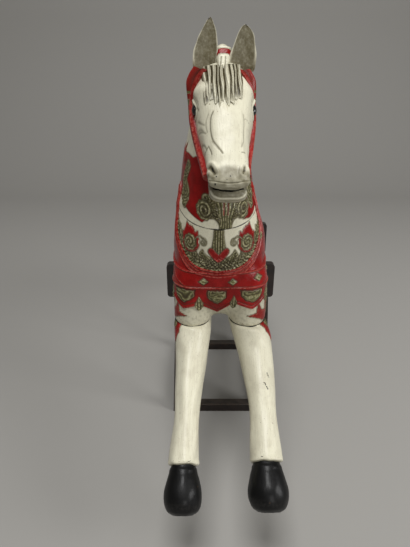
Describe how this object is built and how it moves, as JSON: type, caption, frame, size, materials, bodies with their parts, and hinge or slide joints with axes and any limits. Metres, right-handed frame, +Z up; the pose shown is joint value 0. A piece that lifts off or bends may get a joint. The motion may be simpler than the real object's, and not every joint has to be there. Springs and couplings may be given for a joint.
{
  "type": "carousel horse on a stand",
  "caption": "Carved and painted wooden carousel horse in a flying gallop, its belly resting in the curved boards of a dark timber stand.",
  "frame": {"origin": "on the floor, under the middle of the overall bounding box", "axes": "+Z up, the horse faces -Y, its left side is towards +X"},
  "size_m": [0.4014, 1.6678, 1.337],
  "materials": {
    "red_paint": "carved wood in worn red and cream paint with gilt leaves",
    "white_paint": "carved wood in aged cream white paint",
    "leg_paint": "cream white paint over straight grain, hooves in semi-gloss black",
    "black_lacquer": "dark brown-black lacquer"
  },
  "bodies": {
    "root": {"torso": "red_paint", "head_and_neck": "white_paint", "foreleg_right": "leg_paint", "foreleg_left": "leg_paint", "hindleg_right": "leg_paint", "hindleg_left": "leg_paint", "front_cradle": "black_lacquer", "rear_cradle": "black_lacquer", "front_right_post": "black_lacquer", "front_left_post": "black_lacquer", "rear_right_post": "black_lacquer", "rear_left_post": "black_lacquer", "front_cross_bar": "black_lacquer", "rear_cross_bar": "black_lacquer", "right_side_rail": "black_lacquer", "left_side_rail": "black_lacquer"}
  },
  "joints": []
}
